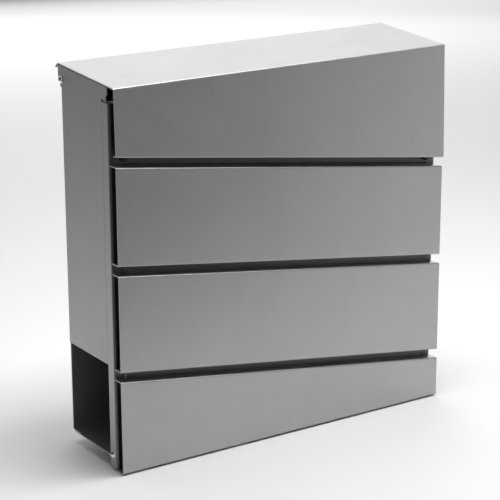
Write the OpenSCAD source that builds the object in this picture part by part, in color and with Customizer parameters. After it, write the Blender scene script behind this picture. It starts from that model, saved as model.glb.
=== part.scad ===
// Wall mailbox with a tilting front door, a hinged rain lid and an open newspaper
// compartment. Every sub-part is drawn from the lower front edge of the box: X runs
// across the front, Y runs back from the faces of the front panels, Z runs up from the
// bottom edge of the lowest panel. on_wall() then moves it to the wall datum: the
// middle of the four mounting holes, on the plane of the wall, with the front facing -Y.

/* [Body] */
// Width of the front panels
front_w = 364.2; // [340:0.2:400]
// Depth from the panel faces to the outside of the back wall
body_d = 99.7; // [97:0.1:130]
// Height of the side walls and the back wall under the lid
wall_top = 356; // [350:0.5:357]
// Thickness of the sheet steel
sheet = 1; // [0.8:0.1:1.2]
// Outer bend radius at the vertical rear corners
rear_bend = 3; // [2:0.5:4]
// Outer bend radius at the vertical front corners
front_bend = 2.5; // [2:0.5:3.5]
// Depth of the side strips of the front frame
strip_d = 11.6; // [11:0.1:12.5]
// Height of the top edge of the front frame
frame_top = 343.8; // [335:0.1:345]
// Width of the front returns beside the door
return_w = 10.5; // [9:0.5:12]

/* [Front panels] */
// Depth of the panel trays
tray_d = 11.3; // [10:0.1:13]
// Height of the lowest groove's middle line at the left edge
first_groove = 94.2; // [85:0.1:100]
// Distance from the lowest groove to the middle one
lower_pitch = 100.1; // [95:0.1:101]
// Distance from the middle groove to the upper one
upper_pitch = 99.5; // [95:0.1:100]
// Width of a groove
groove_w = 8.9; // [6:0.1:12]
// Fall of each groove from the left edge to the right edge
groove_fall = 50.3; // [40:0.1:52]
// Width of the lips that lie on the door plate
lip_w = 8; // [5:0.5:10]

/* [Lid] */
// Height of the lid's front edge
lid_front_z = 359.2; // [358.2:0.1:360]
// Height of the lid's rear edge
lid_rear_z = 365.5; // [364:0.5:366]
// Overhang of the lid's rear edge behind the back wall
lid_overhang = 2.3; // [2:0.1:3]
// Forward lean of the front flap, in degrees
flap_lean = 1.5; // [0:0.1:2]
// Play between the lid's side flanges and the side walls
lid_play = 0.3; // [0.2:0.05:0.5]
// Height of the lower edge of the side flanges
flange_z = 347.3; // [346:0.1:348.5]
// Length of the folded drip lip at the rear
drip_lip = 5.7; // [5:0.1:8]

/* [Pivots] */
// Distance of the door pivot behind the panel faces
door_pivot_y = 19.6; // [19.4:0.1:19.7]
// Height of the door pivot
door_pivot_z = 12.8; // [12.8:0.1:13.1]
// Distance of the lid pivot in front of the outside of the back wall
lid_pivot_in = 3.9; // [3.2:0.1:4.2]
// Height of the lid pivot
lid_pivot_z = 351.3; // [351.1:0.1:352.3]
// Radius of the pivot screws
screw_r = 1.5; // [1.25:0.25:1.5]
// Radius of the screw heads
head_r = 3.45; // [3:0.05:3.5]

/* [Newspaper compartment] */
// Height of the top of the compartment's floor
floor_z = 11.2; // [11:0.1:11.3]
// Height of the underside of the mail compartment
divider_z = 100; // [90:1:120]

/* [Lock] */
// Height of the lock
lock_z = 286; // [284:0.5:300]
// Radius of the lock body
lock_r = 7.9; // [7:0.1:8.5]
// Radius of the turning plug
plug_r = 6; // [5:0.5:6]
// Length of the cam from the lock's axis to its tip
cam_reach = 32; // [30:0.5:33]

/* [Wall mounting] */
// Horizontal distance between the mounting holes
hole_dx = 280; // [200:5:300]
// Vertical distance between the mounting holes
hole_dz = 180; // [150:5:200]
// Height of the middle of the hole pattern
hole_mid = 230; // [220:1:240]
// Radius of the mounting holes
hole_r = 3.25; // [2.5:0.25:4]
// Thickness of the wall spacers
spacer_t = 12.3; // [12.2:0.1:15]

/* [Hidden] */
$fn = 48;

// Paint and metal colours
paint_front = [0.50, 0.50, 0.50];
paint_body = [0.44, 0.44, 0.44];
paint_lid = [0.60, 0.60, 0.60];
paint_groove = [0.22, 0.22, 0.22];
bright_steel = [0.78, 0.78, 0.80];
black_rubber = [0.07, 0.07, 0.07];

// Small steps and gaps: panels past the side walls, door inside its opening, door panels
// off the frame's plane
panel_proud = 0.1;
door_side_gap = 0.8;
door_back_gap = 0.4;

// Half widths, from the middle plane of the box
half_front = front_w / 2;
half_body = half_front - panel_proud;
half_lid = half_body + lid_play + sheet;
half_opening = half_body - return_w;
half_door = half_opening - door_side_gap;

// Places of the lid's rear edge and of its pivot
lid_rear_y = body_d + lid_overhang;
lid_pivot_y = body_d - lid_pivot_in;

// Planes in Y: the frame's front face, the strips' rear edge, the side walls' front edge
frame_y = tray_d + door_back_gap;
strip_rear = frame_y + strip_d;
seam = 0.3;
wall_front = strip_rear + seam;
tab_front = frame_y + front_bend;

// Seam between the door and the fixed plate above it
door_edge = 0.7;
door_gap = 0.7;

// Outer radius of the small folds, and how far their cutters run past the ends
fold_r = 1.5;
fold_over = 4;

// Running clearances: pivot screws, fixed screw holes and the lock plug
pivot_play = 0.06;
hole_play = 0.05;
plug_play = 0.05;
axial_play = 0.3;

// Door pan and its ears
door_flange_d = 12.2;
door_bottom = 2;
ear_r = 6.5;
ear_below_top = 3;
top_flange_d = 8;

// Fasteners
head_h = 1.9;
socket_af = 2;
socket_depth = 0.9;
nut_af = 5.5;
nut_h = 2.4;
thread_tail = 1;
bush_r = 2.4;
washer_r = 3.5;
washer_t = 0.5;
rivet_r = 1.65;
rivet_head_r = 3.2;
rivet_tail_r = 2.4;
rivet_head_h = 1.2;

// Heights of the grooves at the left edge, and of a groove's middle line across the front
groove_z = [first_groove, first_groove + lower_pitch,
    first_groove + lower_pitch + upper_pitch];
function groove(k, x) = groove_z[k] - groove_fall * (x + half_front) / front_w;
// Upper edge of a panel below groove k, and lower edge of the panel above it
function panel_top(k, x) = groove(k, x) - groove_w / 2;
function panel_bottom(k, x) = groove(k, x) + groove_w / 2;
// Height of the lid's upper surface at a distance behind the panel faces
function lid_line(y) =
    lid_front_z + (y - 1) * (lid_rear_z - lid_front_z) / (lid_rear_y - 1);

// ---- drawing helpers ----

// Moves a sub-part from the lower front edge to the wall datum
module on_wall() {
    translate([0, -body_d - spacer_t, -hole_mid]) children();
}

// Extrudes an outline drawn in X and Z between two planes in Y
module slab_y(y0, y1) {
    translate([0, y1, 0]) rotate([90, 0, 0]) linear_extrude(y1 - y0) children();
}

// Extrudes an outline drawn in Y and Z between two planes in X
module slab_x(x0, x1) {
    translate([x0, 0, 0]) rotate([90, 0, 90]) linear_extrude(x1 - x0) children();
}

// Repeats its children on the left
module both_sides() {
    children();
    mirror([1, 0, 0]) children();
}

// Rectangle between two corners
module rect(x0, y0, x1, y1) {
    translate([x0, y0]) square([x1 - x0, y1 - y0]);
}

// Round bar along X between two planes, at a place in Y and Z
module bar_x(x0, x1, y, z, r) {
    translate([x0, y, z]) rotate([0, 90, 0]) cylinder(r = r, h = x1 - x0);
}

// Round bar along Y between two planes, at a place in X and Z
module bar_y(y0, y1, x, z, r) {
    translate([x, y0, z]) rotate([-90, 0, 0]) cylinder(r = r, h = y1 - y0);
}

// Domed head, standing on Z = 0
module dome(r, h) {
    ball_r = (r * r + h * h) / (2 * h);
    rotate_extrude() intersection() {
        translate([0, h - ball_r]) circle(ball_r);
        square([r, h]);
    }
}

// Plan of a box whose two rear corners are bent round
module rounded_plan(half, y0, y1, r) {
    rect(-half, y0, half, y1 - r);
    rect(-half + r, y0, half - r, y1);
    for (side = [-1, 1]) translate([side * (half - r), y1 - r]) circle(r);
}

// Cutter that rounds a folded edge: the edge runs along +X from the origin, between a
// face turned to -Y and a face turned to +Z
module edge_round(length, r) {
    difference() {
        translate([-fold_over, -1, -r]) cube([length + 2 * fold_over, r + 1, r + 1]);
        translate([-2 * fold_over, r, -r]) rotate([0, 90, 0])
            cylinder(r = r, h = length + 4 * fold_over);
    }
}

// Cutter for a folded edge that rises or falls across the whole front
module front_edge_round(half, z0, z1, r) {
    angle = atan2(z1 - z0, 2 * half);
    translate([-half, 0, z0]) rotate([0, -angle, 0]) edge_round(2 * half / cos(angle), r);
}

// Four-sided outline between a lower and an upper slanted edge
module slanted(x0, x1, low0, low1, high0, high1) {
    polygon([[x0, low0], [x1, low1], [x1, high1], [x0, high0]]);
}

// ---- fasteners ----

// Button-head screw along +X: the head's underside at x = 0, the shank going to -X
module button_screw(length) {
    difference() {
        rotate([0, 90, 0]) dome(head_r, head_h);
        translate([head_h - socket_depth, 0, 0]) rotate([0, 90, 0])
            cylinder(r = socket_af / sqrt(3), h = socket_depth + 1, $fn = 6);
    }
    translate([-length, 0, 0]) rotate([0, 90, 0]) cylinder(r = screw_r, h = length);
}

// Hexagon nut along X, from x = 0 towards -X
module hex_nut_x(af, h, bore_r) {
    translate([-h, 0, 0]) rotate([0, 90, 0]) difference() {
        cylinder(r = af / sqrt(3), h = h, $fn = 6);
        translate([0, 0, -1]) cylinder(r = bore_r, h = h + 2);
    }
}

// Blind rivet along Y: the head in front of y0, the tail behind y1
module rivet_y(x, z, y0, y1) {
    translate([x, y0, z]) rotate([90, 0, 0]) dome(rivet_head_r, rivet_head_h);
    bar_y(y0, y1, x, z, rivet_r);
    bar_y(y1, y1 + rivet_head_h, x, z, rivet_tail_r);
}

// ---- fixed body ----

divider_rivet_x = [-120, 0, 120];
divider_flange = 12;
divider_rivet_z = divider_z + 7;
hem_d = 12;
hem_inset = 9;
return_front = 84.4;
return_rear = body_d - 5;
back_half = half_body - 1.7;
bottom_bend = 2;
ear_z = 344;
ear_clear = 7;
tab_top_front = 17;
tab_top_z = 351;

// Back wall, both side walls and the folded return under the newspaper compartment
module rear_shell() {
    color(paint_body) on_wall() difference() {
        union() {
            shell_walls();
            // Bend at the bottom of the back wall
            slab_x(-back_half, back_half) difference() {
                translate([body_d - bottom_bend, floor_z + bottom_bend]) circle(bottom_bend);
                translate([body_d - bottom_bend, floor_z + bottom_bend])
                    circle(bottom_bend - sheet);
                rect(0, floor_z + bottom_bend, body_d + 1, wall_top);
                rect(0, 0, body_d - bottom_bend, wall_top);
            }
            // Return on the newspaper floor, its rear corners cut back to the wall's edges
            translate([0, 0, floor_z]) linear_extrude(sheet) polygon([
                [-half_body + sheet, return_front], [half_body - sheet, return_front],
                [half_body - sheet, return_rear], [back_half, body_d - bottom_bend],
                [-back_half, body_d - bottom_bend], [-half_body + sheet, return_rear]
            ]);
            // Stiffening hem at the top of the back wall
            slab_x(-half_body + hem_inset, half_body - hem_inset)
                rect(body_d - hem_d, wall_top - sheet, body_d - sheet / 2, wall_top);
            both_sides() stepped_tab();
        }
        for (x = [-hole_dx / 2, hole_dx / 2], z = [-hole_dz / 2, hole_dz / 2])
            bar_y(body_d - 5, body_d + 1, x, hole_mid + z, hole_r);
        for (x = divider_rivet_x)
            bar_y(body_d - 5, body_d + 1, x, divider_rivet_z, rivet_r + hole_play);
        both_sides() bar_x(half_body - 2 * sheet, half_lid, lid_pivot_y, lid_pivot_z,
            screw_r + hole_play);
    }
}

// Bent walls, open at the sides below the mail compartment, with a flat ear for each
// lid pivot at the top rear corners
module shell_walls() {
    difference() {
        translate([0, 0, floor_z + bottom_bend])
            linear_extrude(wall_top - floor_z - bottom_bend) difference() {
                rounded_plan(half_body, wall_front, body_d, rear_bend);
                rounded_plan(half_body - sheet, wall_front - 1, body_d - sheet,
                    rear_bend - sheet);
            }
        both_sides() {
            translate([back_half, wall_front - 1, 0])
                cube([half_front - back_half, body_d, divider_z]);
            translate([half_body - ear_clear, body_d - rear_bend, ear_z])
                cube([half_body, rear_bend + 1, wall_top]);
        }
    }
    both_sides() slab_x(half_body - sheet, half_body)
        rect(body_d - rear_bend, ear_z, body_d, wall_top);
}

// Tab joggled in behind a strip of the front frame, rising above the frame at the top
module stepped_tab() {
    slab_x(half_body - 2 * sheet, half_body - sheet) {
        rect(tab_front, divider_z, wall_front + 1, frame_top - 1);
        rect(tab_top_front, frame_top - 1, wall_front + 1, tab_top_z);
    }
    slab_x(half_body - 2 * sheet, half_body)
        rect(wall_front, divider_z, wall_front + 1, tab_top_z);
}

slot_in = 165;
slot_rear = 28.5;
floor_front = 15;
floor_tab_h = 13;
bush_room = 1.3;

// Floor of the newspaper compartment, slotted for the door's ears and their bushes
module newspaper_floor() {
    color(paint_body) on_wall() difference() {
        union() {
            slab_x(-half_body + sheet, half_body - sheet)
                rect(floor_front, floor_z - sheet, return_rear, floor_z);
            // Upright tabs that the door pivots pass through
            both_sides() slab_x(half_body - 2 * sheet, half_body - sheet)
                rect(floor_front, floor_z - sheet, strip_rear - 0.5,
                    floor_z + floor_tab_h);
        }
        both_sides() {
            translate([slot_in, floor_front - 1, 0])
                cube([half_opening + 0.1 - slot_in, slot_rear - floor_front + 1,
                    floor_z + 1]);
            translate([half_opening, floor_front - 1, 0])
                cube([return_w - 2 * sheet, door_pivot_y + bush_r + bush_room - floor_front,
                    floor_z + 1]);
            bar_x(half_body - 2 * sheet - 1, half_lid, door_pivot_y, door_pivot_z,
                screw_r + hole_play);
        }
    }
}

divider_front = 13.6;
divider_play = 0.2;
divider_half = half_body - sheet - divider_play;
divider_rear = body_d - sheet - divider_play;
tongue_half = 168;
back_flange_inset = 5;

// Floor of the mail compartment, a tray with upturned sides and back
module compartment_divider() {
    color(paint_body) on_wall() difference() {
        union() {
            slab_x(-tongue_half, tongue_half)
                rect(divider_front, divider_z, divider_rear, divider_z + sheet);
            slab_x(-divider_half, divider_half)
                rect(slot_rear, divider_z, body_d - rear_bend, divider_z + sheet);
            both_sides() slab_x(divider_half - sheet, divider_half)
                rect(slot_rear, divider_z, body_d - rear_bend, divider_z + divider_flange);
            slab_x(-half_body + back_flange_inset, half_body - back_flange_inset)
                rect(divider_rear - sheet, divider_z, divider_rear,
                    divider_z + divider_flange);
        }
        for (x = divider_rivet_x)
            bar_y(body_d - 5, body_d, x, divider_rivet_z, rivet_r + hole_play);
    }
}

// Three rivets that join the divider to the back wall, heads at the rear
module divider_rivets() {
    color(bright_steel) on_wall() for (x = divider_rivet_x)
        translate([x, body_d, divider_rivet_z]) rotate([0, 0, 180])
            rivet_y(0, 0, 0, body_d - divider_rear + sheet);
}

frame_bottom = 0.3;
frame_lip = 10;

// Fixed front frame: a plate behind the lid's flap, a return beside the door on each
// side, and the side strips
module front_frame() {
    color(paint_body) on_wall() difference() {
        union() {
            both_sides() translate([0, 0, frame_bottom])
                linear_extrude(frame_top - frame_bottom) corner_strip();
            slab_y(frame_y, frame_y + sheet)
                slanted(-half_opening - 1, half_opening + 1,
                    panel_top(2, -half_opening - 1) + door_edge + door_gap,
                    panel_top(2, half_opening + 1) + door_edge + door_gap,
                    frame_top, frame_top);
            slab_x(-half_body + 2 * sheet + seam, half_body - 2 * sheet - seam)
                rect(frame_y, frame_top - sheet, frame_y + frame_lip, frame_top);
        }
        both_sides() bar_x(half_body - 2 * sheet, half_lid, door_pivot_y, door_pivot_z,
            screw_r + hole_play);
        bar_y(frame_y - 1, frame_y + 5, 0, lock_z, lock_r + 2 * hole_play);
    }
}

// Plan of the right-hand return, front bend and side strip
module corner_strip() {
    bend_x = half_body - front_bend;
    rect(half_opening, frame_y, bend_x, frame_y + sheet);
    rect(half_body - sheet, tab_front, half_body, strip_rear);
    intersection() {
        difference() {
            translate([bend_x, tab_front]) circle(front_bend);
            translate([bend_x, tab_front]) circle(front_bend - sheet);
        }
        rect(bend_x, frame_y, half_body, tab_front);
    }
}

buffer_r = 4.6;
buffer_x = 168.8;
buffer_tip = 4.6;

// Domed rubber buffers that the lid's flap rests on
module rubber_buffers() {
    color(black_rubber) on_wall() for (x = [-buffer_x, buffer_x])
        translate([x, frame_y, panel_bottom(2, x) - 0.1]) rotate([90, 0, 0])
            rotate_extrude() {
                square([buffer_r, frame_y - buffer_tip - buffer_r]);
                translate([0, frame_y - buffer_tip - buffer_r]) intersection() {
                    circle(buffer_r);
                    square(buffer_r);
                }
            }
}

spacer_r = 8;

// Round spacers that hold the box clear of the wall, so that the lid can swing
module wall_spacers() {
    color(black_rubber) on_wall()
        for (x = [-hole_dx / 2, hole_dx / 2], z = [-hole_dz / 2, hole_dz / 2])
            difference() {
                bar_y(body_d, body_d + spacer_t, x, hole_mid + z, spacer_r);
                bar_y(body_d - 1, body_d + spacer_t + 1, x, hole_mid + z, hole_r);
            }
}

// ---- pivots ----

door_ear_in = half_door - sheet;
door_nut_x = door_ear_in - axial_play;
lid_nut_x = half_body - sheet - washer_t;

module door_pivot_screws() {
    color(bright_steel) on_wall() both_sides()
        translate([half_body, door_pivot_y, door_pivot_z])
            button_screw(half_body - door_nut_x + nut_h + thread_tail);
}

// Bushes that keep the door's ears in from the side strips
module door_pivot_bushes() {
    color(bright_steel) on_wall() both_sides() difference() {
        bar_x(half_door + axial_play, half_body - 2 * sheet, door_pivot_y, door_pivot_z,
            bush_r);
        bar_x(half_door, half_body, door_pivot_y, door_pivot_z, screw_r + hole_play);
    }
}

module door_pivot_nuts() {
    color(bright_steel) on_wall() both_sides()
        translate([door_nut_x, door_pivot_y, door_pivot_z])
            hex_nut_x(nut_af, nut_h, screw_r + hole_play);
}

module lid_pivot_screws() {
    color(bright_steel) on_wall() both_sides()
        translate([half_lid + axial_play, lid_pivot_y, lid_pivot_z])
            button_screw(half_lid + axial_play - lid_nut_x + nut_h + thread_tail);
}

module lid_pivot_washers() {
    color(bright_steel) on_wall() both_sides() difference() {
        bar_x(lid_nut_x, lid_nut_x + washer_t, lid_pivot_y, lid_pivot_z, washer_r);
        bar_x(0, half_body, lid_pivot_y, lid_pivot_z, screw_r + hole_play);
    }
}

module lid_pivot_nuts() {
    color(bright_steel) on_wall() both_sides()
        translate([lid_nut_x, lid_pivot_y, lid_pivot_z])
            hex_nut_x(nut_af, nut_h, screw_r + hole_play);
}

// ---- lock ----

lock_head_h = 2.5;
lock_head_r = 9.5;
lock_rear = frame_y + 16;
cam_front = lock_rear + 0.4;
cam_t = 2;
cam_square = 7;
cam_hub_r = 8;
cam_tip_r = 6;
cam_screw_r = 1.6;
cam_screw_l = 9;
cam_screw_head_r = 5.2;
cam_screw_head_h = 2.4;
screw_slot_w = 1;
lock_nut_af = 22;
lock_nut_h = 3.5;
keyway_half_w = 3.8;
keyway_half_t = 0.6;
keyway_depth = 6.5;

// Fixed barrel of the cam lock, with a collar in front of the plate
module lock_barrel() {
    color(bright_steel) on_wall() difference() {
        union() {
            bar_y(frame_y - lock_head_h, frame_y, 0, lock_z, lock_head_r);
            bar_y(frame_y, lock_rear, 0, lock_z, lock_r);
        }
        bar_y(0, lock_rear + 1, 0, lock_z, plug_r + plug_play);
    }
}

module lock_nut() {
    color(bright_steel) on_wall() translate([0, frame_y + sheet, lock_z])
        rotate([-90, 0, 0]) difference() {
            cylinder(r = lock_nut_af / sqrt(3), h = lock_nut_h, $fn = 6);
            translate([0, 0, -1]) cylinder(r = lock_r + hole_play, h = lock_nut_h + 2);
        }
}

// Turning plug with its keyway, and the square end that drives the cam
module lock_plug() {
    color(bright_steel) on_wall() difference() {
        union() {
            bar_y(frame_y - lock_head_h, cam_front, 0, lock_z, plug_r);
            slab_y(cam_front, cam_front + cam_t)
                rect(-cam_square / 2, lock_z - cam_square / 2, cam_square / 2,
                    lock_z + cam_square / 2);
        }
        slab_y(frame_y - lock_head_h - 1, frame_y - lock_head_h + keyway_depth)
            rect(-keyway_half_w, lock_z - keyway_half_t, keyway_half_w,
                lock_z + keyway_half_t);
        bar_y(cam_front + cam_t - cam_screw_l, cam_front + cam_t + 1, 0, lock_z,
            cam_screw_r + hole_play);
    }
}

// Cam, turned aside to the right in the unlocked position
module lock_cam() {
    color(bright_steel) on_wall() slab_y(cam_front, cam_front + cam_t) difference() {
        union() {
            translate([0, lock_z]) circle(cam_hub_r);
            rect(0, lock_z - cam_tip_r, cam_reach - cam_tip_r, lock_z + cam_tip_r);
            translate([cam_reach - cam_tip_r, lock_z]) circle(cam_tip_r);
        }
        translate([0, lock_z]) square(cam_square + 2 * hole_play, center = true);
    }
}

module cam_screw() {
    color(bright_steel) on_wall() translate([0, cam_front + cam_t, lock_z])
        rotate([-90, 0, 0]) {
            difference() {
                cylinder(r = cam_screw_head_r, h = cam_screw_head_h);
                translate([-cam_screw_head_r - 1, -screw_slot_w / 2,
                    cam_screw_head_h - screw_slot_w])
                    cube([2 * cam_screw_head_r + 2, screw_slot_w, 2]);
            }
            translate([0, 0, 0.5 - cam_screw_l]) cylinder(r = cam_screw_r, h = cam_screw_l);
        }
}

// ---- door ----

keeper_rivet_x = [-9, 9];
keeper_rivet_z = 241;
door_lip_half = half_door - 4;

// Height of the door plate's slanted top edge
function door_top(x) = panel_top(2, x) + door_edge;

// Pan behind the panels, with a flange at each side and along the slanted top edge
module door_plate() {
    color(paint_groove) on_wall() difference() {
        union() {
            slab_y(tray_d, tray_d + sheet)
                slanted(-half_door, half_door, door_bottom, door_bottom,
                    door_top(-half_door), door_top(half_door));
            slab_y(tray_d, tray_d + sheet + top_flange_d)
                slanted(-door_lip_half, door_lip_half,
                    door_top(-door_lip_half) - sheet, door_top(door_lip_half) - sheet,
                    door_top(-door_lip_half), door_top(door_lip_half));
            for (side = [-1, 1]) door_side_flange(side);
        }
        bar_x(-half_front, half_front, door_pivot_y, door_pivot_z, screw_r + pivot_play);
        for (x = keeper_rivet_x)
            bar_y(tray_d - 1, tray_d + 5, x, keeper_rivet_z, rivet_r + hole_play);
    }
}

// Side flange of the door pan, ending in a round ear at the pivot
module door_side_flange(side) {
    inner = side * half_door - (side > 0 ? sheet : 0);
    slab_x(inner, inner + sheet) {
        rect(tray_d, door_pivot_z, tray_d + sheet + door_flange_d,
            door_top(side * half_door) - ear_below_top);
        rect(tray_d, door_pivot_z - ear_r, door_pivot_y, door_pivot_z);
        translate([door_pivot_y, door_pivot_z]) circle(ear_r);
    }
}

lip_half = 168;

// A tray panel between its lower and upper slanted edges, given at the left and right
// ends, with open ends and lips that lie on the door plate
module tray(low0, low1, high0, high1) {
    low = function(x) low0 + (low1 - low0) * (x + half_front) / front_w;
    high = function(x) high0 + (high1 - high0) * (x + half_front) / front_w;
    difference() {
        slab_y(0, tray_d)
            slanted(-half_front, half_front, low0, low1, high0, high1);
        slab_y(sheet, tray_d + 1)
            slanted(-half_front - 1, half_front + 1,
                low(-half_front - 1) + sheet, low(half_front + 1) + sheet,
                high(-half_front - 1) - sheet, high(half_front + 1) - sheet);
        front_edge_round(half_front, high0, high1, fold_r);
        mirror([0, 0, 1]) front_edge_round(half_front, -low0, -low1, fold_r);
    }
    slab_y(tray_d - sheet, tray_d) {
        slanted(-lip_half, lip_half, low(-lip_half), low(lip_half),
            low(-lip_half) + lip_w, low(lip_half) + lip_w);
        slanted(-lip_half, lip_half, high(-lip_half) - lip_w, high(lip_half) - lip_w,
            high(-lip_half), high(lip_half));
    }
}

module panel_upper() {
    color(paint_front) on_wall()
        tray(panel_bottom(1, -half_front), panel_bottom(1, half_front),
            panel_top(2, -half_front), panel_top(2, half_front));
}

module panel_middle() {
    color(paint_front) on_wall()
        tray(panel_bottom(0, -half_front), panel_bottom(0, half_front),
            panel_top(1, -half_front), panel_top(1, half_front));
}

corner_relief = 1.6;

// The lowest panel, level at the bottom, cut back there in front of the side strips
module panel_lower() {
    color(paint_front) on_wall() difference() {
        tray(0, 0, panel_top(0, -half_front), panel_top(0, half_front));
        both_sides() translate([half_door - 2, tray_d - corner_relief, -1])
            cube([half_front, corner_relief + 1, door_pivot_z]);
    }
}

keeper_t = 1.5;
keeper_foot_z = 232;
keeper_leg_z = 250;
keeper_tip_z = 262;
keeper_half = 10;
keeper_foot_half = 15;
keeper_cam_gap = 1.1;
keeper_reach = cam_front + cam_t + keeper_cam_gap + keeper_t;

// Hooked keeper on the inside of the door; the cam turns down in front of its tip
module latch_keeper() {
    color(bright_steel) on_wall() difference() {
        union() {
            slab_x(-keeper_foot_half, keeper_foot_half)
                rect(tray_d + sheet, keeper_foot_z, tray_d + sheet + keeper_t,
                    keeper_leg_z + keeper_t);
            slab_x(-keeper_half, keeper_half) {
                rect(tray_d + sheet, keeper_leg_z, keeper_reach, keeper_leg_z + keeper_t);
                rect(keeper_reach - keeper_t, keeper_leg_z, keeper_reach, keeper_tip_z);
            }
        }
        for (x = keeper_rivet_x)
            bar_y(tray_d, tray_d + 6, x, keeper_rivet_z, rivet_r + hole_play);
    }
}

module keeper_rivets() {
    color(bright_steel) on_wall() for (x = keeper_rivet_x)
        rivet_y(x, keeper_rivet_z, tray_d, tray_d + sheet + keeper_t);
}

// ---- lid ----

flange_front = 11.2;
flange_rear = lid_rear_y - 1;
flange_chamfer = 5;
flange_round = 5.5;
flap_return_y = buffer_tip - 0.3;
flap_return_d = 8;
flap_half = half_lid - 1.1;
front_fold_r = 1.3;
lid_slope = atan2(lid_rear_z - lid_front_z, lid_rear_y - 1);

// Lid: top sheet with a rear drip lip, side flanges, and the front flap
module lid_cover() {
    color(paint_lid) on_wall() difference() {
        union() {
            slab_x(-half_lid, half_lid) lid_profile();
            both_sides() slab_x(half_lid - sheet, half_lid) lid_flange();
            lid_flap();
        }
        // Folds at the front edge and along the sides of the top
        translate([-half_lid, 1, lid_front_z]) rotate([lid_slope, 0, 0])
            edge_round(2 * half_lid, front_fold_r);
        both_sides() translate([half_lid, 0, lid_line(0)]) rotate([lid_slope, 0, 0])
            rotate([0, 0, 90]) edge_round(lid_rear_y, fold_r);
        bar_x(-half_lid - 1, half_lid + 1, lid_pivot_y, lid_pivot_z,
            screw_r + pivot_play);
    }
}

// Side view of the top sheet and the drip lip, folded down at 45 degrees
module lid_profile() {
    lip = drip_lip * sqrt(0.5);
    slope = (lid_rear_z - lid_front_z) / (lid_rear_y - 1);
    fold_y = (lid_rear_y + lid_rear_z - sheet * sqrt(2) - lid_line(0) + sheet) / (1 + slope);
    polygon([
        [1, lid_front_z],
        [lid_rear_y, lid_rear_z],
        [lid_rear_y + lip, lid_rear_z - lip],
        [lid_rear_y + lip - sheet * sqrt(0.5), lid_rear_z - lip - sheet * sqrt(0.5)],
        [fold_y, lid_line(fold_y) - sheet],
        [1, lid_front_z - sheet]
    ]);
}

// Side view of a side flange, chamfered at the front and rounded behind the pivot
module lid_flange() {
    difference() {
        polygon([
            [flange_front, lid_line(flange_front) - sheet / 2],
            [flange_front, flange_z + flange_chamfer],
            [flange_front + flange_chamfer, flange_z],
            [flange_rear, flange_z],
            [flange_rear, lid_line(flange_rear) - sheet / 2]
        ]);
        difference() {
            rect(flange_rear - flange_round, flange_z - 1, flange_rear + 1,
                flange_z + flange_round);
            translate([flange_rear - flange_round, flange_z + flange_round])
                circle(flange_round);
        }
    }
}

// Front flap with its slanted lower edge and the return that meets the buffers
module lid_flap() {
    left_z = panel_bottom(2, -flap_half) - lid_front_z;
    right_z = panel_bottom(2, flap_half) - lid_front_z;
    difference() {
        translate([0, 1, lid_front_z]) rotate([-flap_lean, 0, 0]) difference() {
            union() {
                slab_y(0, sheet) slanted(-flap_half, flap_half, left_z, right_z, 0, 0);
                slab_y(0, flap_return_d) slanted(-flap_half, flap_half, left_z, right_z,
                    left_z + sheet, right_z + sheet);
            }
            mirror([0, 0, 1]) front_edge_round(flap_half, -left_z, -right_z, fold_r);
        }
        translate([-half_lid, flap_return_y, 0]) cube([2 * half_lid, 20, wall_top]);
    }
}

rear_shell();
newspaper_floor();
compartment_divider();
front_frame();
divider_rivets();
rubber_buffers();
wall_spacers();
door_pivot_screws();
door_pivot_bushes();
door_pivot_nuts();
lid_pivot_screws();
lid_pivot_washers();
lid_pivot_nuts();
lock_barrel();
lock_nut();
lock_plug();
lock_cam();
cam_screw();
door_plate();
panel_upper();
panel_middle();
panel_lower();
latch_keeper();
keeper_rivets();
lid_cover();
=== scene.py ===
import math

import bpy
from mathutils import Matrix, Vector


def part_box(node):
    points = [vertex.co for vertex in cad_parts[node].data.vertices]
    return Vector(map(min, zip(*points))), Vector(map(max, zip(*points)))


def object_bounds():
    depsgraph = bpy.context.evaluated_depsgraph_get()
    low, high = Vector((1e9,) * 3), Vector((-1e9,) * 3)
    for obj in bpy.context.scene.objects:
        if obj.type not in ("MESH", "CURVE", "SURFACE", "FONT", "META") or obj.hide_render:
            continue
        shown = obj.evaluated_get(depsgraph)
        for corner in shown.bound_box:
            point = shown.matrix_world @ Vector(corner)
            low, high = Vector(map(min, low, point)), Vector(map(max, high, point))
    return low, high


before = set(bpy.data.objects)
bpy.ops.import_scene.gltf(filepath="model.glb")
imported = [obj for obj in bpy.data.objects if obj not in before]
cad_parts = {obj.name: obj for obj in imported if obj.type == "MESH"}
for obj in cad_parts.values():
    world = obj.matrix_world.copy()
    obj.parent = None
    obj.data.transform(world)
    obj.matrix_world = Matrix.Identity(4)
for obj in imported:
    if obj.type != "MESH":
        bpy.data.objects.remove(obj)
cad_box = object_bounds()
MM = 0.001


# ---- camera ----

VIEW_ANGLES = (-33.309, 16.938, -0.182)     # azimuth, elevation and roll, in degrees
VIEW_DISTANCE = 1790.059                    # mm, from the target
VIEW_TARGET = (0, -60, -45)                 # mm, then moved in the picture's own plane
VIEW_SHIFT = (7.437, 13.546)                # mm to the left and down
LENS = 134.473
SENSOR = 36


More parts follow.
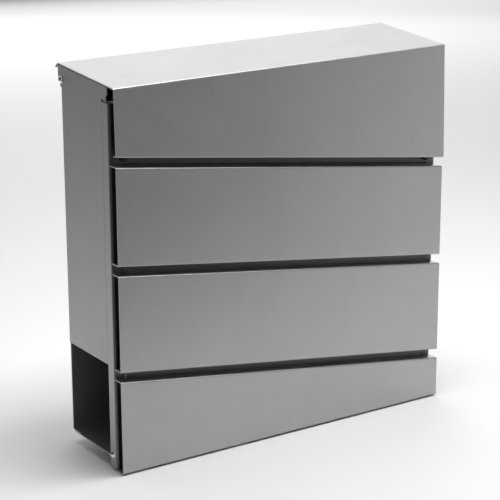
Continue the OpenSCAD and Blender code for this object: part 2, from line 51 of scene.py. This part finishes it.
def make_camera():
    azimuth, elevation, roll = (math.radians(a) for a in VIEW_ANGLES)
    back = Vector((math.sin(azimuth) * math.cos(elevation),
                   -math.cos(azimuth) * math.cos(elevation), math.sin(elevation)))
    right = Vector((0, 0, 1)).cross(back).normalized()
    up = back.cross(right)
    right_rolled = math.cos(roll) * right + math.sin(roll) * up
    up_rolled = -math.sin(roll) * right + math.cos(roll) * up
    left_shift, down_shift = VIEW_SHIFT
    target = Vector(VIEW_TARGET) - left_shift * right_rolled - down_shift * up_rolled
    place = (target + VIEW_DISTANCE * back) * MM
    data = bpy.data.cameras.new("camera")
    data.lens = LENS
    data.sensor_width = SENSOR
    data.clip_start = 0.05
    data.clip_end = 60
    camera = bpy.data.objects.new("camera", data)
    bpy.context.scene.collection.objects.link(camera)
    axes = Matrix((right_rolled, up_rolled, back)).transposed().to_4x4()
    camera.matrix_world = Matrix.Translation(place) @ axes
    bpy.context.scene.camera = camera


make_camera()


# ---- materials ----

class Nodes:
    """Builds one node material around a Principled shader, with positions in metres."""

    def __init__(self, name, metallic, roughness):
        self.material = bpy.data.materials.new(name)
        self.material.use_nodes = True
        self.tree = self.material.node_tree
        self.shader = self.tree.nodes["Principled BSDF"]
        self.shader.inputs["Metallic"].default_value = metallic
        self.shader.inputs["Roughness"].default_value = roughness
        self.place = self.add("ShaderNodeTexCoord").outputs["Object"]

    def add(self, kind, **settings):
        node = self.tree.nodes.new(kind)
        for key, value in settings.items():
            setattr(node, key, value)
        return node

    def link(self, source, target):
        self.tree.links.new(source, target)

    def stretched(self, factors):
        """The place on the object, stretched along its axes."""
        node = self.add("ShaderNodeVectorMath", operation="MULTIPLY")
        node.inputs[1].default_value = factors
        self.link(self.place, node.inputs[0])
        return node.outputs["Vector"]

    def along(self, direction):
        """Distance from the origin along a direction."""
        node = self.add("ShaderNodeVectorMath", operation="DOT_PRODUCT")
        node.inputs[1].default_value = direction
        self.link(self.place, node.inputs[0])
        return node.outputs["Value"]

    def distance(self, centre):
        """Distance from a point."""
        node = self.add("ShaderNodeVectorMath", operation="DISTANCE")
        node.inputs[1].default_value = centre
        self.link(self.place, node.inputs[0])
        return node.outputs["Value"]

    def noise(self, scale, detail=3.0, roughness=0.5, place=None):
        node = self.add("ShaderNodeTexNoise")
        node.inputs["Scale"].default_value = scale
        node.inputs["Detail"].default_value = detail
        node.inputs["Roughness"].default_value = roughness
        self.link(place or self.place, node.inputs["Vector"])
        return node.outputs["Fac"]

    def remap(self, source, low, high, to_low, to_high):
        node = self.add("ShaderNodeMapRange")
        for key, value in (("From Min", low), ("From Max", high),
                           ("To Min", to_low), ("To Max", to_high)):
            node.inputs[key].default_value = value
        self.link(source, node.inputs["Value"])
        return node.outputs["Result"]

    def math(self, operation, a, b):
        node = self.add("ShaderNodeMath", operation=operation)
        for socket, value in zip(node.inputs, (a, b)):
            if isinstance(value, (int, float)):
                socket.default_value = value
            else:
                self.link(value, socket)
        return node.outputs["Value"]

    def blend(self, factor, colour_a, colour_b):
        node = self.add("ShaderNodeMix", data_type="RGBA")
        for index, value in ((6, colour_a), (7, colour_b)):
            if isinstance(value, tuple):
                node.inputs[index].default_value = (*value, 1)
            else:
                self.link(value, node.inputs[index])
        self.link(factor, node.inputs[0])
        return node.outputs[2]

    def bump(self, height, distance, strength=1.0, before=None):
        node = self.add("ShaderNodeBump")
        node.inputs["Distance"].default_value = distance
        node.inputs["Strength"].default_value = strength
        self.link(height, node.inputs["Height"])
        if before is not None:
            self.link(before, node.inputs["Normal"])
        return node.outputs["Normal"]

    def edge(self, radius, low=0.02, high=0.30):
        """1 near corners, convex or concave, within a radius, and 0 on flat faces."""
        node = self.add("ShaderNodeBevel", samples=4)
        node.inputs["Radius"].default_value = radius
        face_normal = self.add("ShaderNodeNewGeometry").outputs["Normal"]
        dot = self.add("ShaderNodeVectorMath", operation="DOT_PRODUCT")
        self.link(node.outputs["Normal"], dot.inputs[0])
        self.link(face_normal, dot.inputs[1])
        turned = self.math("SUBTRACT", 1.0, dot.outputs["Value"])
        return self.remap(turned, low, high, 0.0, 1.0)

    def finish(self, colour=None, roughness=None, normal=None):
        for value, socket in ((colour, "Base Color"), (roughness, "Roughness"),
                              (normal, "Normal")):
            if value is not None:
                self.link(value, self.shader.inputs[socket])
        return self.material


def grey(value, tint=(1.0, 1.0, 1.0)):
    return tuple(value * t for t in tint)


def powder_coat(name, value, tint, shaded_front_grey=None):
    """Satin aluminium-grey powder coat: fine flake, orange peel, and a painted highlight that
    makes edges and corners lighter.

    The optional last argument is the darker grey of the front face: painted shade, standing in
    for the shade in the gaps between the panels. It ends within FRAME_FACE."""
    m = Nodes(name, 1.0, 0.45)
    clouds = m.remap(m.noise(9.0, 4.0, 0.6), 0.3, 0.7, 0.0, 1.0)
    flake = m.remap(m.noise(2600.0, 1.0), 0.35, 0.7, 0.0, 1.0)
    base = m.blend(clouds, grey(value * 0.96, tint), grey(value * 1.04, tint))
    speckled = m.blend(m.math("MULTIPLY", flake, 0.22), base, grey(value * 1.5, tint))
    # Painted highlight: edges and corners, convex and concave, are painted lighter
    coat_with_painted_light = m.blend(m.math("MULTIPLY", m.edge(0.0009), 0.35), speckled, grey(value * 1.7, tint))
    rough = m.remap(m.noise(55.0, 5.0, 0.65), 0.3, 0.7, 0.42, 0.48)
    peel = m.bump(m.noise(420.0, 2.0, 0.45), 0.00004, 0.5)
    grain = m.bump(m.noise(2200.0, 2.0, 0.6), 0.000012, 0.5, peel)
    if shaded_front_grey is not None:
        # Painted shade: the front face is painted darker, in place of the shade in the gaps
        # between the panels
        front_shade_mask = m.remap(m.along((0.0, 1.0, 0.0)), *FRAME_FACE, 0.0, 1.0)
        coat_with_painted_light = m.blend(front_shade_mask, grey(shaded_front_grey, tint), coat_with_painted_light)
    return m.finish(coat_with_painted_light, rough, grain)


def bright_steel():
    """Polished stainless screws, with faint turning marks in the gloss."""
    m = Nodes("bright_screw", 1.0, 0.22)
    shade = m.remap(m.noise(900.0, 3.0), 0.3, 0.7, 0.0, 1.0)
    colour = m.blend(shade, (0.84, 0.84, 0.85), (0.95, 0.95, 0.95))
    rough = m.remap(m.noise(1600.0, 4.0), 0.3, 0.7, 0.16, 0.28)
    return m.finish(colour, rough, m.bump(m.noise(3000.0, 2.0), 0.000006, 0.4))


def zinc_steel():
    """Bright zinc plate: pale blue-grey, mottled, with drawn scratches."""
    m = Nodes("zinc_steel", 1.0, 0.32)
    mottle = m.remap(m.noise(160.0, 5.0, 0.65), 0.3, 0.7, 0.0, 1.0)
    colour = m.blend(mottle, (0.50, 0.51, 0.53), (0.68, 0.69, 0.70))
    drawn = m.noise(700.0, 4.0, 0.6, m.stretched((1.0, 1.0, 0.06)))
    rough = m.remap(drawn, 0.3, 0.7, 0.24, 0.42)
    return m.finish(colour, rough, m.bump(drawn, 0.00001, 0.5))


def black_rubber():
    """Matt moulded rubber with a fine grain and a little dust."""
    m = Nodes("black_rubber", 0.0, 0.75)
    dust = m.remap(m.noise(300.0, 5.0, 0.7), 0.45, 0.8, 0.0, 0.5)
    colour = m.blend(dust, (0.012, 0.012, 0.012), (0.05, 0.048, 0.045))
    rough = m.remap(m.noise(900.0, 3.0), 0.3, 0.7, 0.62, 0.82)
    return m.finish(colour, rough, m.bump(m.noise(1800.0, 3.0, 0.6), 0.00003, 0.6))


def assign(material, *nodes):
    for node in nodes:
        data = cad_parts[node].data
        data.materials.clear()
        data.materials.append(material)


NEUTRAL = (1.0, 1.0, 0.995)
GREY = 0.42
# Painted shade: this dark grey stands in for the shade in the gaps between the front panels
GAP_SHADE_GREY = 0.12
frame_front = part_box("front_frame")[0][1]
FRAME_FACE = (frame_front + 1.2 * MM, frame_front + 2.4 * MM)   # where the painted shade on the frame's front face fades out
assign(powder_coat("front_paint", GREY, NEUTRAL), "panel_upper", "panel_middle", "panel_lower")
assign(powder_coat("body_paint", GREY, NEUTRAL), "rear_shell", "newspaper_floor",
       "compartment_divider")
# Painted shade: the frame's front face is painted dark grey
assign(powder_coat("frame_paint_shaded_front", GREY, NEUTRAL, shaded_front_grey=GAP_SHADE_GREY), "front_frame")
# Painted shade: the door plate, seen only in the gaps, is painted dark grey
assign(powder_coat("groove_paint", GAP_SHADE_GREY, NEUTRAL), "door_plate")
assign(powder_coat("lid_paint", GREY, NEUTRAL), "lid_cover")
assign(bright_steel(), "door_pivot_screws", "lid_pivot_screws", "lock_barrel", "lock_plug")
assign(zinc_steel(), "divider_rivets", "keeper_rivets", "door_pivot_bushes", "door_pivot_nuts",
       "lid_pivot_washers", "lid_pivot_nuts", "lock_nut", "lock_cam", "cam_screw",
       "latch_keeper")
assign(black_rubber(), "rubber_buffers", "wall_spacers")


# ---- stage and light ----

FLOOR_GAP = 0.0015          # below the object, so that the two never share a face
FLOOR_HALF = 8              # half of the floor's side
FLOOR_Z = cad_box[0][2] - FLOOR_GAP
FAR_START, FAR_END = 2.5, 4.0
FAR_GLOW = 0.35
FLAG_GLOW = 0.149
FLAG_HEIGHT = 0.6
BACKDROP_GREY = 0.6


def stage_quad(name, material, corners):
    """One flat face that isn't part of the object."""
    mesh = bpy.data.meshes.new(name)
    mesh.from_pydata(corners, [], [(0, 1, 2, 3)])
    mesh.materials.append(material)
    quad = bpy.data.objects.new(name, mesh)
    bpy.context.scene.collection.objects.link(quad)
    return quad


def make_stage():
    m = Nodes("floor_white", 0.0, 0.9)
    m.shader.inputs["Specular IOR Level"].default_value = 0.1
    m.finish(m.blend(m.noise(3.0, 2.0), (0.875, 0.88, 0.885), (0.885, 0.89, 0.895)))
    # Painted light: the floor itself glows far from the object, in place of a lamp-lit studio
    # sweep
    far = m.remap(m.distance((0, 0, 0)), FAR_START, FAR_END, 0.0, FAR_GLOW)
    m.link(m.blend(far, (0.0, 0.0, 0.0), (1.0, 1.0, 1.0)), m.shader.inputs["Emission Color"])
    m.shader.inputs["Emission Strength"].default_value = 1.0
    half = FLOOR_HALF
    stage_quad("floor", m.material, [(-half, -half, FLOOR_Z), (half, -half, FLOOR_Z),
                                     (half, half, FLOOR_Z), (-half, half, FLOOR_Z)])


def black_flag(name, start, end):
    """Dark board standing on the floor, with a faint painted glow, seen only in the
    reflections in the paint.
    """
    m = Nodes(name + "_black", 0.0, 0.9)
    m.finish(m.blend(m.noise(20.0), (0.015, 0.015, 0.015), (0.025, 0.025, 0.025)))
    # Painted light: the board glows faintly, a dim grey in the paint's reflections
    m.shader.inputs["Emission Color"].default_value = (1, 1, 1, 1)
    m.shader.inputs["Emission Strength"].default_value = FLAG_GLOW
    (x0, y0), (x1, y1) = start, end
    top = FLOOR_Z + FLAG_HEIGHT
    board = stage_quad(name, m.material, [(x0, y0, FLOOR_Z), (x1, y1, FLOOR_Z),
                                          (x1, y1, top), (x0, y0, top)])
    board.visible_camera = False
    board.visible_diffuse = False
    board.visible_shadow = False


def softbox(name, place, target, size, power):
    data = bpy.data.lights.new(name, "AREA")
    data.shape = "RECTANGLE"
    data.size, data.size_y = size
    data.energy = power
    light = bpy.data.objects.new(name, data)
    bpy.context.scene.collection.objects.link(light)
    light.location = place
    light.rotation_euler = (Vector(target) - Vector(place)).to_track_quat("-Z", "Y").to_euler()
    light.visible_camera = False


def make_world():
    """Pale behind the floor's edge, but it gives no light: the softboxes and floor do."""
    world = bpy.data.worlds.new("studio")
    bpy.context.scene.world = world
    world.use_nodes = True
    backdrop = world.node_tree.nodes["Background"]
    backdrop.inputs["Color"].default_value = (BACKDROP_GREY, BACKDROP_GREY, BACKDROP_GREY, 1)
    ray = world.node_tree.nodes.new("ShaderNodeLightPath")
    world.node_tree.links.new(ray.outputs["Is Camera Ray"], backdrop.inputs["Strength"])


make_stage()
black_flag("flag_left", (-0.52, -0.10), (-0.25, -0.44))
black_flag("flag_front", (-0.25, -0.44), (0.28, -0.52))
make_world()
bpy.context.scene.view_settings.view_transform = "Standard"

# name, place, what it points at, size, power in watts
SOFTBOXES = [
    ("overhead", (0, 0.1, 1.0), (0, 0.1, 0), (0.9, 0.7), 5.8),
    ("overhead_front", (0.25, -0.35, 1.1), (0.25, -0.35, 0), (0.9, 0.5), 13.0),
    ("overhead_left", (-0.8, 0.2, 1.1), (-0.6, 0.1, -0.2), (0.6, 0.6), 1.1),
    ("overhead_rear", (0.6, 1.6, 1.2), (0.3, 1.0, -0.23), (2.0, 0.8), 4.8),
    ("rear_screen", (0.8, 2.2, 0.6), (0, 0, -0.1), (3.0, 1.4), 25.5),
    ("rear_low", (1.2, 1.9, 0.35), (0, 0, 0.1), (2.4, 0.6), 4.5),
    ("right_fill", (1.6, -0.6, 0.5), (0, -0.06, -0.05), (1.2, 1.2), 3.0),
    ("left_sparkle", (-1.0, -0.45, 0.35), (-0.18, -0.06, 0.0), (0.16, 0.16), 0.6),
    ("right_low", (1.6, -0.8, 0.0), (0, -0.06, -0.05), (0.9, 0.4), 3.0),
]
for box in SOFTBOXES:
    softbox(*box)
